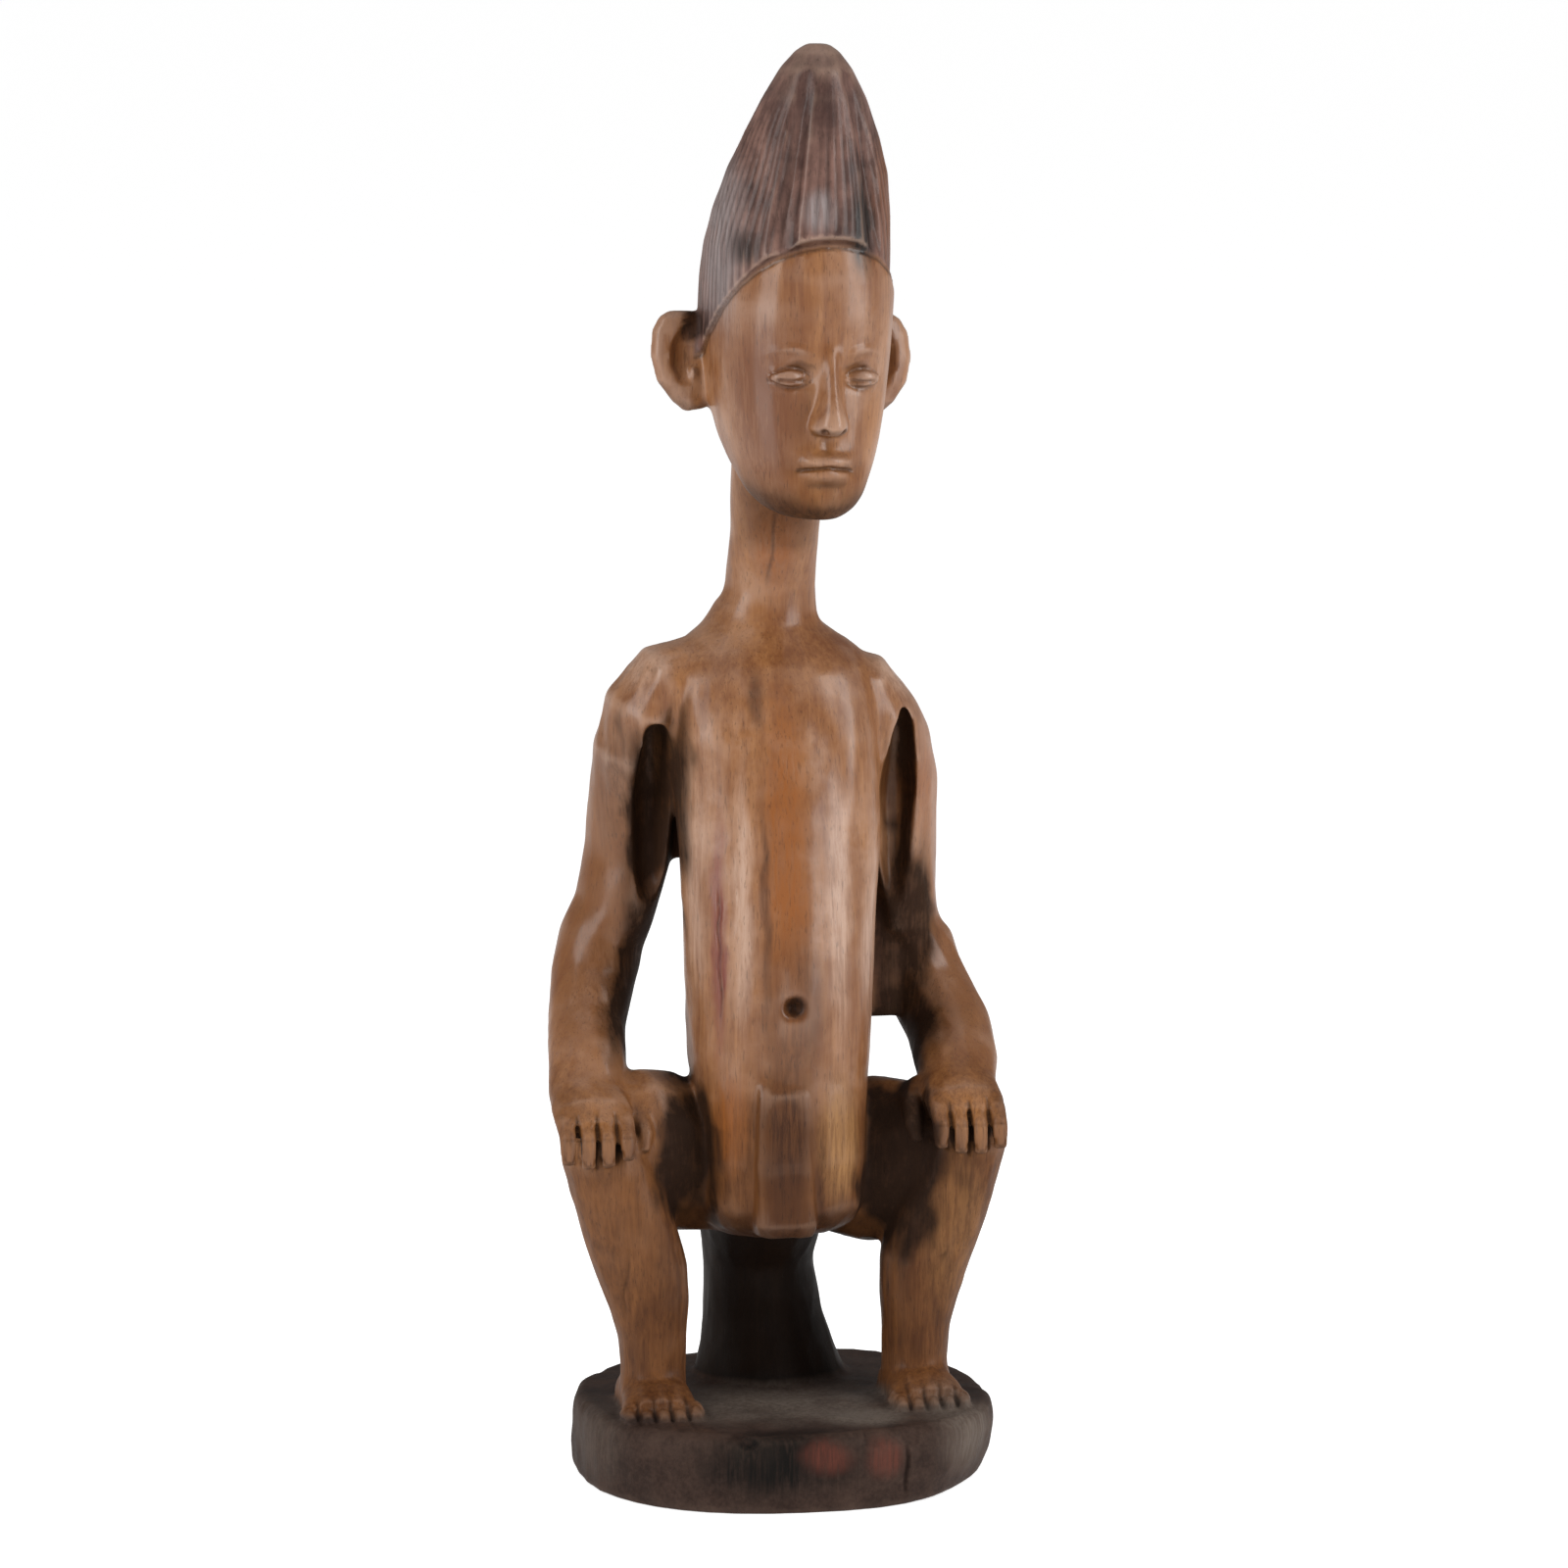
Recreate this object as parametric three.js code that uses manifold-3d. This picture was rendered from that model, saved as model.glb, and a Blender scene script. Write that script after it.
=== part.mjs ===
// A figure carved from one block of wood. It sits on a low post with its hands on its knees, on a round base.
// Millimetres, +Z up. The figure looks along -Y, its left side is at +X,
// and the origin is the centre of the base's flat underside.
import * as THREE from 'three';
import { LoftGeometry } from 'three/addons/geometries/LoftGeometry.js';
import { mergeVertices } from 'three/addons/utils/BufferGeometryUtils.js';
import Module from 'manifold-3d';

const wasm = await Module();
wasm.setup();

// Driving dimensions
const totalHeight = 360;
const baseRadius = 52.7;
const baseHeight = 19.5;
const baseOffset = 1.7; // the figure stands a little off the middle of its base
const postRadius = 14;
const postY = 23;
const seatHeight = 61;
const hipHeight = 79;
const kneeHeight = 84;
const kneeSpread = 45.6;
const ankleSpread = 33.8;
const shinY = -10;
const trunkHalfWidth = 24;
const shoulderHeight = 212;
const shoulderSpread = 35;
const shoulderShift = -2.4; // towards the figure's right
const shoulderTilt = 1.8; // how much lower the figure's left shoulder is than the middle
const elbowHeight = 126;
const elbowSpread = 42.5;
const elbowDrop = 4; // how much lower the figure's left elbow is
const wristHeight = 98;
const handSpread = 47.3;
const handShift = -2.6; // towards the figure's right
const neckRadius = 11.2;
const headHeight = 276; // the middle of the head, between the ears
const headY = -20;
const headTurn = 7; // degrees, towards the figure's left
const headLean = 1.8; // degrees, towards the figure's left
const earHeight = 24.5;
const hairlineFront = 35.5; // above the middle of the head
const hairlineSlope = 0.85; // fall of the hairline from the brow to the nape

// Solids

function toSolid(geometry) {
  const bare = new THREE.BufferGeometry().copy(geometry);
  bare.deleteAttribute('normal');
  bare.deleteAttribute('uv');
  const merged = mergeVertices(bare, 1e-4);
  const vertProperties = new Float32Array(merged.getAttribute('position').array);
  const triVerts = new Uint32Array(merged.index.array);
  return new wasm.Manifold(new wasm.Mesh({ numProp: 3, vertProperties, triVerts }));
}

function toGeometry(solid) {
  const mesh = solid.getMesh();
  const geometry = new THREE.BufferGeometry();
  geometry.setAttribute('position', new THREE.BufferAttribute(mesh.vertProperties, 3));
  geometry.setIndex(new THREE.BufferAttribute(mesh.triVerts, 1));
  geometry.computeVertexNormals();
  return geometry;
}

function joined(solids) {
  return solids.reduce((whole, solid) => whole.add(solid));
}

function placed(solid, matrix) {
  return toSolid(toGeometry(solid).applyMatrix4(matrix));
}

// Forms

// Adds rows on a smooth curve between the given ones. The first number of a row is its place along the form.
function smoothRows(rows, steps) {
  const places = rows.map((row) => row[0]);
  const curve = new THREE.CubicInterpolant(places, rows.flat(), rows[0].length);
  const between = rows.slice(1).flatMap((row, number) => {
    const start = places[number];
    return Array.from({ length: steps }, (_, step) => {
      return [...curve.evaluate(start + ((row[0] - start) * step) / steps)];
    });
  });
  return [...between, rows[rows.length - 1]];
}

// A point of an oval at an angle; a squareness over 2 fills its corners.
function onOval(angle, halfWidth, halfDepth, squareness) {
  const [across, along] = [Math.cos(angle), Math.sin(angle)];
  const reach = (value, size) => Math.sign(value) * size * Math.abs(value) ** (2 / squareness);
  return [reach(across, halfWidth), reach(along, halfDepth)];
}

// A closed body of level sections.
// Rows: height, x, y, half width, reach to the front, reach to the back, squareness.
// Relief gives how far the surface stands out at an angle and a height, with the front at -90 degrees.
function levelForm(rows, sides, steps = 1, relief = () => 0) {
  const sections = smoothRows(rows, steps).map(([z, x, y, halfWidth, front, back, squareness]) => {
    return Array.from({ length: sides }, (_, side) => {
      const angle = (side / sides) * Math.PI * 2;
      const halfDepth = Math.sin(angle) < 0 ? front : back;
      const [dx, dy] = onOval(angle, halfWidth, halfDepth, squareness);
      const out = relief(THREE.MathUtils.radToDeg(angle), z);
      return new THREE.Vector3(x + dx + out * Math.cos(angle), y + dy + out * Math.sin(angle), z);
    });
  });
  return toSolid(new LoftGeometry(sections, { capStart: true, capEnd: true }));
}

// A closed body of sections square to a bent line.
// Rows: place along the line, x, y, z, half width, half depth, and the section's turn in degrees.
function limbForm(rows, sides, steps = 1) {
  const stations = smoothRows(rows, steps);
  const centres = stations.map((row) => new THREE.Vector3(row[1], row[2], row[3]));
  const sections = stations.map(([, , , , halfWidth, halfDepth, turn = 0], step) => {
    const before = centres[Math.max(step - 1, 0)];
    const after = centres[Math.min(step + 1, centres.length - 1)];
    const along = after.clone().sub(before).normalize();
    const across = new THREE.Vector3(1, 0, 0);
    across.addScaledVector(along, -across.dot(along)).normalize();
    across.applyAxisAngle(along, THREE.MathUtils.degToRad(turn));
    const outward = along.clone().cross(across);
    return Array.from({ length: sides }, (_, side) => {
      const [dx, dy] = onOval((side / sides) * Math.PI * 2, halfWidth, halfDepth, 2);
      return centres[step].clone().addScaledVector(across, dx).addScaledVector(outward, dy);
    });
  });
  return toSolid(new LoftGeometry(sections, { capStart: true, capEnd: true }));
}

function egg(x, y, z, halfWidth, halfDepth, halfHeight, sides = 10) {
  const geometry = new THREE.SphereGeometry(1, sides, sides / 2).rotateX(Math.PI / 2);
  return toSolid(geometry.scale(halfWidth, halfDepth, halfHeight).translate(x, y, z));
}

// How far an angle in degrees is from another, from 0 to 180.
function angleBetween(a, b) {
  const turn = Math.abs(a - b) % 360;
  return Math.min(turn, 360 - turn);
}

// A rounded rise of 1 at the middle that is gone at the given reach.
function swell(distance, reach) {
  return Math.abs(distance) < reach ? 0.5 + 0.5 * Math.cos((Math.PI * distance) / reach) : 0;
}

// Base and post

function roundBase() {
  const wornSide = -35; // degrees, where the lower edge is chipped away
  const irregular = (angle) => 0.5 * Math.sin(THREE.MathUtils.degToRad(2 * angle + 40));
  const relief = (angle, z) => {
    const chip = 5 * swell(angleBetween(angle, wornSide), 50) * Math.max(0, 1 - z / 10);
    return irregular(angle) - chip;
  };
  const row = (share, inset) => {
    const radius = baseRadius - inset;
    return [share * baseHeight, 0, 0, radius, radius, radius, 2.35];
  };
  const rows = [row(0, 1.2), row(0.06, 0.4), row(0.35, 0), row(0.74, 0.1), row(0.93, 0.9), row(1, 2.8)];
  return levelForm(rows, 42, 1, relief);
}

function post() {
  const r = postRadius;
  const rows = [
    [baseHeight - 3, 3.4, postY, r + 7, r + 5, r + 3.5, 2],
    [baseHeight + 2, 3, postY, r + 5.4, r + 3.4, r + 2, 2],
    [baseHeight + 8, 2.4, postY, r + 3.4, r + 1.6, r + 1, 2],
    [baseHeight + 16, 1.2, postY, r + 1.6, r + 0.4, r, 2],
    [seatHeight - 12, 0, postY - 1, r + 0.2, r, r, 2],
    [seatHeight - 3, 0, postY - 4, r + 1.6, r + 3, r, 2],
    [seatHeight + 7, 0, postY - 8, r + 3, r + 4, r, 2],
    [seatHeight + 17, 0, postY - 13, r + 1, r, r - 0.5, 2],
  ];
  return levelForm(rows, 16);
}

// Trunk and neck

function trunk() {
  const w = trunkHalfWidth;
  const rows = [
    [seatHeight, 0, 2, w - 9, 13, 17, 2.2],
    [seatHeight + 4, 0, -3, w - 5, 19, 24, 2.3],
    [seatHeight + 14, 0, -8, w - 3.8, 17.5, 29.5, 2.4],
    [seatHeight + 30, 0, -8, w - 3.2, 18, 29.5, 2.3],
    [seatHeight + 46, -0.3, -4, w - 0.7, 21.5, 20, 2.15],
    [seatHeight + 62, -0.3, -4, w - 0.3, 22, 17.5, 2.05],
    [seatHeight + 84, 0, -4, w + 0.6, 20, 19, 2.05],
    [seatHeight + 106, 0, -3, w + 1.8, 18.5, 20.5, 2.05],
    [shoulderHeight - 31, -0.2, -1, w + 2.6, 18, 20, 2.1],
    [shoulderHeight - 18, shoulderShift * 0.4, 0.5, w + 4, 17.5, 18, 2.1],
    [shoulderHeight - 9, shoulderShift * 0.8, 2, w + 4, 16.5, 16.5, 2.1],
    [shoulderHeight - 3, shoulderShift, 4.5, w - 0.5, 15, 14.5, 2.1],
    [shoulderHeight + 2.5, shoulderShift, 6.5, w - 8.5, 13.4, 12.8, 2],
    [shoulderHeight + 9, shoulderShift * 0.5, 6.5, neckRadius + 1, neckRadius + 0.4, neckRadius + 0.4, 2],
  ];
  const relief = (angle, z) => {
    const fromFront = angleBetween(angle, -90);
    const fromBack = angleBetween(angle, 90);
    const midBelly = z > seatHeight + 46 && z < shoulderHeight - 20;
    const band = midBelly && fromFront < 12 ? 0.8 : 0;
    const breast = 1.4 * swell(fromFront - 38, 28) * swell(z - (shoulderHeight - 26), 22);
    const spine = -1.4 * swell(fromBack, 12) * swell(z - 142, 80);
    const blade = 1.3 * swell(fromBack - 42, 30) * swell(z - (shoulderHeight - 28), 26);
    const buttock = 1.2 * swell(fromBack - 36, 34) - 2.6 * swell(fromBack, 12);
    return band + breast + spine + blade + buttock * swell(z - (seatHeight + 14), 24);
  };
  const navel = egg(-1, -26.6, seatHeight + 61, 2.6, 3.4, 2.6, 8);
  const seat = egg(0, 8, seatHeight + 16.2, 18, 18, 16, 12);
  return levelForm(rows, 26, 2, relief).subtract(navel).add(seat);
}

// A plain narrow cloth that falls in front from the belly to the seat.
function cloth() {
  const rows = [
    [seatHeight + 3, -2.4, -21, 7, 5, 4, 3.6],
    [seatHeight + 6, -2.6, -22.5, 8, 5.4, 4, 4],
    [seatHeight + 22, -3, -23.4, 7.6, 4.2, 4, 4],
    [seatHeight + 39, -3, -23.2, 6.8, 3.2, 4, 4],
    [seatHeight + 45, -3, -23, 6.2, 1, 4, 3.6],
  ];
  return levelForm(rows, 16);
}

function neck() {
  const r = neckRadius;
  const rows = [
    [shoulderHeight - 10, shoulderShift, 6, r + 3, r + 3, r - 1, 2],
    [shoulderHeight + 2, -1.6, 7, r + 2.6, r + 1.6, r + 0.4, 2],
    [shoulderHeight + 12, -0.4, 5, r + 0.4, r, r, 2],
    [shoulderHeight + 27, 0, 0.5, r, r, r, 2],
    [shoulderHeight + 44, 0, -5, r + 1, r + 1, r + 1, 2],
    [headHeight, 0, -9, r + 1, r + 1, r + 1, 2],
  ];
  return levelForm(rows, 16);
}

// Arms and hands; side is -1 for the figure's right and 1 for its left

function arm(side) {
  const shoulder = (reach) => shoulderShift + side * (shoulderSpread + reach);
  const shoulderZ = shoulderHeight - side * shoulderTilt;
  const elbow = (reach) => -0.8 + side * (elbowSpread + reach);
  const elbowZ = elbowHeight - (side > 0 ? elbowDrop : 0);
  const handX = handShift + side * handSpread;
  const middleX = handX * 0.4 + elbow(3.6) * 0.6;
  const middleZ = (elbowZ + wristHeight) / 2 - 6.5;
  const fuller = side > 0 ? 1 : 0; // the figure's left forearm is fuller
  const rows = [
    [0, shoulder(-22), 4, shoulderZ - 8.6, 8.4, 9, 0],
    [10, shoulder(-10), 3.5, shoulderZ - 12.4, 9.8, 12.4, 0],
    [19, shoulder(-4.4), 4.5, shoulderZ - 20, 9.6, 12.8, side * 10],
    [29, shoulderShift * 0.6 + side * (shoulderSpread - 1.4), 7, shoulderHeight - 29.5, 8.8, 13, side * 26],
    [40, side * (shoulderSpread - 0.2), 10, shoulderHeight - 40, 8, 13, side * 36],
    [56, side * (shoulderSpread + 0.4), 13.5, shoulderHeight - 56, 8, 12.8, side * 37],
    [70, elbow(-5.4), 17, elbowZ + 16, 9.4, 12, side * 24],
    [78, elbow(-2.4), 18.5, elbowZ + 8, 11, 11.2, side * 8],
    [88, elbow(0.6), 15.5, elbowZ - 2, 11, 11, 0],
    [100, elbow(3.6) + fuller * 1.2, 8, elbowZ - 12, 10 + fuller, 10.2, 0],
    [112, middleX + fuller, -1, middleZ, 10 + fuller, 9.4, 0],
    [123, handX, -9, wristHeight + 0.5, 9.8, 7, 0],
    [132, handX, -17, wristHeight - 2.5, 10.2, 4.8, 0],
    [138, handX, -21, wristHeight - 6, 9.8, 3.4, 0],
  ];
  return limbForm(rows, 12).add(armpit(side));
}

// The wood left between the upper arm and the back of the trunk; it reaches lower on the figure's left.
function armpit(side) {
  const x = side * (trunkHalfWidth - 1);
  const lower = side > 0 ? 42 : 0;
  const rows = [
    [shoulderHeight - 57 - lower, x, 8.5, 12.5, 1, 1, 3],
    [shoulderHeight - 52 - lower, x, 10, 13, 2.2, 2.2, 3],
    [shoulderHeight - 44 - lower * 0.7, x, 11, 13.5, 3, 3, 3],
    [shoulderHeight - 32, x, 11, 13.5, 3.6, 3.6, 3],
    [shoulderHeight - 14, x, 8, 10, 8, 6, 2.4],
  ];
  return levelForm(rows, 10);
}

// The deep hollow in front, between the upper arm and the side of the trunk.
function armHollow(side) {
  return egg(side * (trunkHalfWidth + 7.5), -3, shoulderHeight - 49, 5.4, 12, 32);
}

function finger(side, offset, length) {
  const x = handShift + side * (handSpread + offset);
  const rows = [
    [0, x, -16, wristHeight - 1.5, 2.3, 2.3],
    [5, x, -20.5, wristHeight - 4, 2.5, 2.5],
    [10, x, -23.6, wristHeight - 8, 2.4, 2.3],
    [10 + length, x + side * offset * 0.04, -24.6, wristHeight - 8 - length, 1.7, 1.6],
  ];
  return limbForm(rows, 6);
}

function hand(side) {
  const fingerGap = 4.9;
  const lengths = [5, 6.5, 6.8, 5.6];
  const fingers = lengths.map((length, number) => finger(side, (number - 1.5) * fingerGap, length));
  const x = handShift + side * (handSpread - 10);
  const thumb = [
    [0, x, -6, wristHeight + 1, 2.6, 2.6],
    [6, x - side * 2.6, -12, wristHeight - 3, 2.9, 2.8],
    [12, x - side * 3, -17, wristHeight - 8, 2.5, 2.4],
    [16, x - side * 2.4, -19, wristHeight - 12, 1.6, 1.5],
  ];
  return joined([...fingers, limbForm(thumb, 6)]);
}

// Legs and feet

function thigh(side) {
  const higher = side < 0 ? 3 : 0; // the figure's right thigh rises more towards the knee
  const lower = side > 0 ? 2 : 0; // and its left thigh hangs lower
  const rows = [
    [0, side * 7, 10, hipHeight - 3, 18, 15.5],
    [10, side * 16, 8, hipHeight - 1.4 - lower * 0.5, 19.5, 18 + lower * 0.5],
    [22, side * 28, 2, hipHeight + 0.8 + higher * 0.5 - lower, 17, 20 + lower],
    [34, side * 38, -5, hipHeight + 2.4 + higher, 13.5, 18.4 + higher * 0.7],
    [44, side * kneeSpread, -9.5, kneeHeight - 1, 10, 12.5],
  ];
  return sidewaysForm(rows, 12, 2);
}

// A limb form whose line runs mostly along X, with its sections turned to suit.
function sidewaysForm(rows, sides, steps) {
  const quarterTurn = new THREE.Matrix4().makeRotationZ(Math.PI / 2);
  const turned = rows.map(([place, x, y, z, halfWidth, halfDepth]) => {
    const point = new THREE.Vector3(x, y, z).applyMatrix4(quarterTurn);
    return [place, ...point.toArray(), halfWidth, halfDepth];
  });
  return placed(limbForm(turned, sides, steps), quarterTurn.invert());
}

function shin(side) {
  const row = (height, x, halfWidth, front, back) => {
    return [height, side * x, shinY, halfWidth, front, back, 2.1];
  };
  const rows = [
    row(baseHeight, ankleSpread, 9, 9, 10),
    row(baseHeight + 10, ankleSpread - 0.2, 8.4, 8.6, 9.6),
    row(baseHeight + 18, ankleSpread + 0.2, 8.8, 9, 10.4),
    row(baseHeight + 27, ankleSpread + 1.2, 10.6, 10, 12),
    row(baseHeight + 36, ankleSpread + 2.8, 12, 11, 13),
    row(baseHeight + 46, ankleSpread + 5.8, 12.6, 11.8, 13),
    row(baseHeight + 55, kneeSpread - 3.2, 12.3, 12.4, 12.5),
    row(kneeHeight - 1, kneeSpread - 0.4, 11.6, 12.8, 12),
    row(kneeHeight + 5, kneeSpread + 0.2, 10.2, 11.6, 11),
    row(kneeHeight + 9.5, kneeSpread + 0.2, 6, 7, 6.5),
  ];
  return levelForm(rows, 14);
}

function foot(side) {
  const x = side * ankleSpread;
  const sole = [
    [0, x, shinY + 14, baseHeight + 1, 6, 4.5],
    [6, x, shinY + 8, baseHeight + 2, 8.6, 7.5],
    [16, x, shinY - 4, baseHeight + 2.5, 9, 8.6],
    [24, x + side * 0.4, shinY - 12, baseHeight + 1.5, 9.8, 5.6],
    [30, x + side * 0.6, shinY - 16, baseHeight + 1, 9.6, 4],
  ];
  const toeGap = 4.1;
  const toes = [0, 1, 2, 3, 4].map((number) => {
    const radius = number === 0 ? 2.9 : 2.3;
    const toeX = x + side * (0.6 + (number - 2) * toeGap);
    const reach = shinY - 21 + Math.abs(number - 1) * 0.9;
    const rows = [
      [0, toeX, shinY - 13, baseHeight + 1.4, radius, radius],
      [5, toeX, reach + 3.5, baseHeight + 1.2, radius, radius],
      [8, toeX, reach, baseHeight + 0.6, radius * 0.6, radius * 0.6],
    ];
    return limbForm(rows, 6);
  });
  return joined([limbForm(sole, 12), ...toes]);
}

// Head, in its own frame: the origin is the middle of the head and the face looks along -Y

function skull() {
  const rows = [
    [-31, 0, -14, 6, 9.6, 8, 2],
    [-28.5, 0, -12, 11, 12.9, 13, 2.1],
    [-22, 0, -8, 15.4, 17.6, 16, 2.2],
    [-12, 0, -3, 19.2, 22.2, 20, 2.3],
    [2, 0, 0, 21.6, 25.6, 25, 2.3],
    [16, 0, 0, 22.2, 27.4, 27.2, 2.3],
    [28, 0, 0, 22, 27.8, 27, 2.3],
    [38, 0, 0, 19.5, 26.4, 24, 2.2],
  ];
  return levelForm(rows, 26, 2);
}

function nose() {
  const rows = [
    [-10, 0, -23, 3.6, 7.8, 4, 2],
    [-8.6, 0, -23, 5.2, 9.6, 4, 2.2],
    [-6, 0, -23, 4.8, 9.6, 4, 2],
    [-2, 0, -23, 3.4, 8, 4, 2],
    [4, 0, -23, 2.7, 6.2, 4, 2],
    [9.5, 0, -23, 3, 5.2, 4, 2],
    [13, 0, -23, 4.2, 3.4, 4, 2],
  ];
  return levelForm(rows, 12);
}

function ear(side) {
  const half = earHeight / 2;
  const middle = 5.2;
  const closer = side > 0 ? 1.3 : 0; // the figure's left ear lies closer to the head
  const row = (share, reach, halfWidth, thick) => {
    const x = side * (reach - closer * (0.4 + 1.3 * share));
    return [middle + share * half, x, 9.5, halfWidth, thick, thick, 2.4];
  };
  const rows = [
    row(-1, 22.8, 2.6, 1.6),
    row(-0.8, 23.6, 5, 2.8),
    row(-0.4, 25.4, 7.2, 3.2),
    row(0.1, 26.4, 8, 3.2),
    row(0.6, 26.2, 8, 3.2),
    row(0.88, 25.4, 7, 2.8),
    row(1, 24.6, 5.4, 1.8),
  ];
  const hollow = egg(side * (26.2 - closer), 4.9, middle + 1.5, 5, 3.6, 8.4, 10);
  const lobe = egg(side * (23.8 - closer), 7.9, middle - 3, 1.8, 2.6, 2.6, 6);
  return levelForm(rows, 10).subtract(hollow).add(lobe);
}

function face() {
  const sides = [-1, 1];
  const sockets = sides.map((side) => egg(side * 9.4, -28, 4, 7.8, 5.4, 5));
  const eyes = sides.map((side) => egg(side * 9.3, -22.2, 3.6, 5, 3, 2.8));
  const lips = [egg(0, -25.2, -16.4, 7.2, 3, 1.9), egg(0, -24.8, -20, 6.4, 3.1, 2.1)];
  const chin = egg(0, -20.6, -26.4, 7.6, 5.4, 4.6);
  const bare = skull().subtract(aboveHairline(0.6));
  const cut = sockets.reduce((whole, socket) => whole.subtract(socket), bare);
  return joined([cut, ...eyes, ...lips, chin, nose(), ear(-1), ear(1)]);
}

// Everything above the sloping hairline, or above a plane higher than it by the given amount.
function aboveHairline(raised) {
  const slab = new THREE.BoxGeometry(160, 160, 160).translate(0, 0, 80);
  slab.rotateX(-Math.atan(hairlineSlope)).translate(0, -26, hairlineFront + raised);
  return toSolid(slab);
}

// A tall peaked hairdress: a raised middle crest between two long grooves, over a close cap of hair.
function hairdress() {
  const peak = totalHeight - headHeight;
  const rows = [
    [-14, 0, 1, 20.6, 27, 26.6, 2.3],
    [0, 0, 1, 22.6, 28, 28.6, 2.3],
    [14, -0.6, 1, 22.4, 28.2, 29.6, 2.2],
    [26, -0.8, 0.5, 22.2, 28.2, 29, 2.2],
    [34, -0.9, -0.5, 22, 27.6, 26.6, 2.2],
    [43, -0.9, -3, 21.5, 24.8, 22, 2.1],
    [53, -0.8, -6.5, 19.8, 20.6, 17.6, 2],
    [62, -1.2, -10, 16.7, 16.4, 13, 2],
    [71, -1.6, -12.5, 12.8, 13, 9.6, 2],
    [78, -1.9, -14, 8.9, 9.6, 6.6, 2],
    [peak - 1.8, -2, -15, 5.4, 6, 4.2, 2],
    [peak, -2, -15.2, 2.6, 3.2, 2.2, 2],
  ];
  const grooveAngle = 30;
  const relief = (angle, z) => {
    const fromMiddle = Math.min(angleBetween(angle, -90), angleBetween(angle, 90));
    const depth = 2.6 * swell(z - 52, 34);
    const groove = -depth * swell(fromMiddle - grooveAngle, 9);
    const crest = fromMiddle < grooveAngle ? 0.3 * depth : 0;
    return groove + crest;
  };
  return levelForm(rows, 36, 1, relief).intersect(aboveHairline(0));
}

function head() {
  const pose = new THREE.Matrix4().makeTranslation(0.5, headY, headHeight);
  pose.multiply(new THREE.Matrix4().makeRotationZ(THREE.MathUtils.degToRad(headTurn)));
  pose.multiply(new THREE.Matrix4().makeRotationY(THREE.MathUtils.degToRad(headLean)));
  return placed(joined([face(), hairdress()]), pose);
}

// The whole figure as one body

function figure() {
  const limbs = [-1, 1].flatMap((side) => [arm(side), hand(side), thigh(side), shin(side), foot(side)]);
  const upright = [trunk(), cloth(), neck(), post(), head()];
  const body = joined([...upright, ...limbs]).subtract(armHollow(-1)).subtract(armHollow(1));
  const shifted = placed(body, new THREE.Matrix4().makeTranslation(-baseOffset, 0, 0));
  return shifted.add(roundBase());
}

const wood = new THREE.MeshStandardMaterial({
  color: 0x8a5a38,
  roughness: 0.5,
  metalness: 0,
  flatShading: true,
});
const carving = new THREE.Mesh(toGeometry(figure()), wood);
carving.name = 'figure';

const group = new THREE.Group();
group.add(carving);

export default group;
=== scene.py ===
# An old carved wooden figure: it sits on a low post, on a round base, all of one block.
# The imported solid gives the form. Here it gets its fine carving, wear, wood and light.
import math

import bmesh
import bpy
import numpy as np
from mathutils import Euler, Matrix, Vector, noise
from mathutils.bvhtree import BVHTree


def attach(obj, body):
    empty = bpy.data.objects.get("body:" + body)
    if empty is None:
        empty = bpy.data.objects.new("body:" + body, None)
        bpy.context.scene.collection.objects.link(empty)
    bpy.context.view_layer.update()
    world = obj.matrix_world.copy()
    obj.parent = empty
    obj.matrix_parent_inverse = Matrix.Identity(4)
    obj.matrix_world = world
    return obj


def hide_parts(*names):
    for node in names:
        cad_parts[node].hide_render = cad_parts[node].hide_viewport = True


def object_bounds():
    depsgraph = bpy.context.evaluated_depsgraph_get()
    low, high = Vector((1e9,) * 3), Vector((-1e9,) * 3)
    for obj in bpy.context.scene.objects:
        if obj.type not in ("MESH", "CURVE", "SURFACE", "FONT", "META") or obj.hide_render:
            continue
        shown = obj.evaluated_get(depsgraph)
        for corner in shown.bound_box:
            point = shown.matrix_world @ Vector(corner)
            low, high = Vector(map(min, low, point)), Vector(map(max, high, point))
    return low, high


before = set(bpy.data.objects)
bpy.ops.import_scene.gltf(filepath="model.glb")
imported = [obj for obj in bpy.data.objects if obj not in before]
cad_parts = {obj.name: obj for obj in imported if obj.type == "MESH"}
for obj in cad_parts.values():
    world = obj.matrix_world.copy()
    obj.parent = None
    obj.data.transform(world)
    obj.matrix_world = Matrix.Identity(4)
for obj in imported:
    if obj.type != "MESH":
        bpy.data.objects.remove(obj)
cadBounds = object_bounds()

mm = 0.001


# Shapes are worked on as arrays of points in millimetres

def bump(distance, reach):
    # 1 at the middle, falling softly to 0 at the reach
    return np.where(np.abs(distance) < reach, 0.5 + 0.5 * np.cos(math.pi * distance / reach), 0.0)


def ramp(value, low, high):
    # 0 below low, 1 above high, soft between; low may be the larger
    part = np.clip((value - low) / (high - low), 0, 1)
    return part * part * (3 - 2 * part)


def between(value, low, lowFull, highFull, high):
    # 0 outside low and high, 1 from lowFull to highFull
    return ramp(value, low, lowFull) * ramp(value, high, highFull)


def softNoise(points, cell, seed):
    # smooth random field from -1 to 1, with swells of about one cell, askew so that no grid shows
    size = 32
    table = np.random.default_rng(seed).uniform(-1, 1, (size, size, size))
    place = points @ np.array(Euler((0.6, 0.8, 1.1)).to_matrix()) / cell
    low = np.floor(place).astype(int)
    part = place - low
    part = part * part * (3 - 2 * part)
    total = np.zeros(len(points))
    for corner in np.ndindex(2, 2, 2):
        weight = np.prod(np.where(np.array(corner) == 1, part, 1 - part), axis=1)
        x, y, z = ((low + corner) % size).T
        total += weight * table[x, y, z]
    return total


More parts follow.
